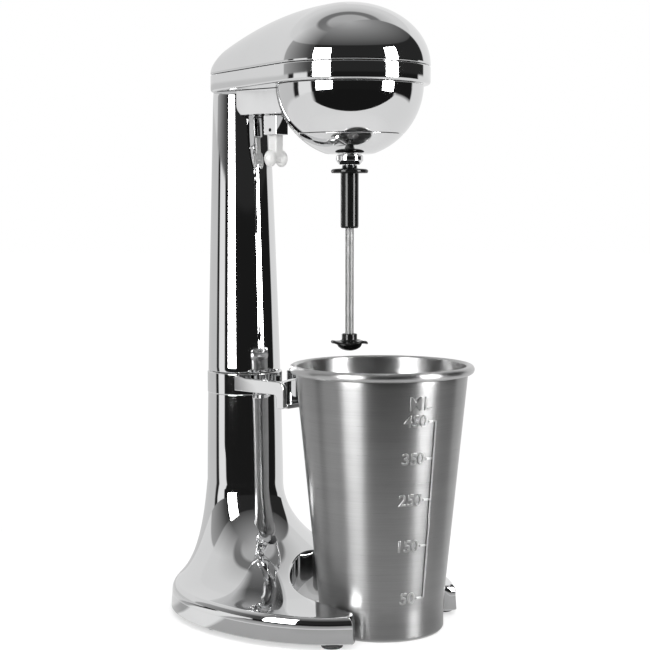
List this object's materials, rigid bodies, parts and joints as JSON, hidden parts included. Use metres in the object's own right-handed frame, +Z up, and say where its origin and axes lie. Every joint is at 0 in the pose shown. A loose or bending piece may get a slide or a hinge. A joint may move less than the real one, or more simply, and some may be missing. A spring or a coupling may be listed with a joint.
{
  "type": "milkshake mixer",
  "caption": "Countertop drink mixer: chrome column on a horseshoe base, domed motor head, hanging whisk, cup-operated switch and a tall steel cup.",
  "frame": {"origin": "on the table, under the middle of the mixer and its cup", "axes": "+Z up, the mixer faces -Y, X across it"},
  "size_m": [0.142, 0.1757, 0.3244],
  "materials": {
    "chrome_plate": "mirror chrome plating",
    "brushed_stainless": "fine brushed stainless steel",
    "plain_steel": "zinc-plated steel",
    "black_plastic": "gloss black moulded plastic",
    "white_plastic": "smooth white moulded plastic",
    "grey_plastic": "moulded nylon",
    "black_rubber": "matt rubber",
    "ballast_iron": "as cast",
    "lamination_steel": "stacked laminations",
    "copper": "enamelled copper",
    "brass": "bright brass",
    "carbon": "pressed carbon"
  },
  "bodies": {
    "stand": {"base_shell": "chrome_plate", "base_plate": "plain_steel", "foot_front_left": "black_rubber", "foot_front_right": "black_rubber", "foot_middle_left": "black_rubber", "foot_middle_right": "black_rubber", "foot_rear": "black_rubber", "cable_gland": "black_plastic", "upper_column": "chrome_plate", "cup_rest": "chrome_plate", "head_cover": "chrome_plate", "head_housing": "chrome_plate", "motor_dome": "chrome_plate", "dome_cap": "chrome_plate", "neck_block": "chrome_plate", "switch_housing": "chrome_plate", "tie_rod": "plain_steel", "tie_rod_nut_lower": "plain_steel", "tie_rod_nut_upper": "plain_steel", "wiring_loom": "black_rubber", "ballast_weight": "ballast_iron", "motor_carrier": "plain_steel", "stator_core": "lamination_steel", "field_coil_left": "copper", "field_coil_right": "copper", "lower_bearing": "plain_steel", "upper_bearing": "plain_steel", "lower_motor_bracket": "plain_steel", "upper_motor_bracket": "plain_steel", "brush_left": "carbon", "brush_right": "carbon", "brush_holder_left": "brass", "brush_holder_right": "brass", "snap_switch": "black_plastic", "lever_pin": "plain_steel", "base_screw_1": "plain_steel", "base_screw_2": "plain_steel", "base_screw_3": "plain_steel", "base_screw_4": "plain_steel"},
    "rotor": {"motor_shaft": "plain_steel", "rotor_core": "lamination_steel", "commutator": "copper", "cooling_fan": "grey_plastic", "drive_collar": "chrome_plate"},
    "whisk": {"whisk_sleeve": "black_plastic", "whisk_rod": "brushed_stainless", "agitator": "black_plastic"},
    "switch_lever": {"cup_lever": "white_plastic"},
    "plunger": {"switch_plunger": "white_plastic"},
    "cup": {"cup": "brushed_stainless"}
  },
  "joints": [
    {"name": "spindle_spin", "type": "hinge", "parent": "stand", "child": "rotor", "pos_m": [0, -0.0179, 0.27], "axis": [0, 0, 1], "continuous": true},
    {"name": "whisk_pull", "type": "slide", "parent": "rotor", "child": "whisk", "axis": [0, 0, -1], "range_m": [0, 0.015]},
    {"name": "cup_press", "type": "hinge", "parent": "stand", "child": "switch_lever", "pos_m": [0, 0.0348, 0.2605], "axis": [1, 0, 0], "range_deg": [0, 8], "stiffness_Nm_per_rad": 0.05, "springref_deg": -2.86},
    {"name": "plunger_travel", "type": "slide", "parent": "stand", "child": "plunger", "axis": [0, -1, 0], "range_m": [0, 0.0018]},
    {"name": "cup_lift", "type": "slide", "parent": "stand", "child": "cup", "axis": [0, 0.1333, 0.9911], "range_m": [0, 0.119]}
  ],
  "couplings": [
    {"joint": "plunger_travel", "follows": "cup_press", "m_per_rad": 0.012}
  ]
}
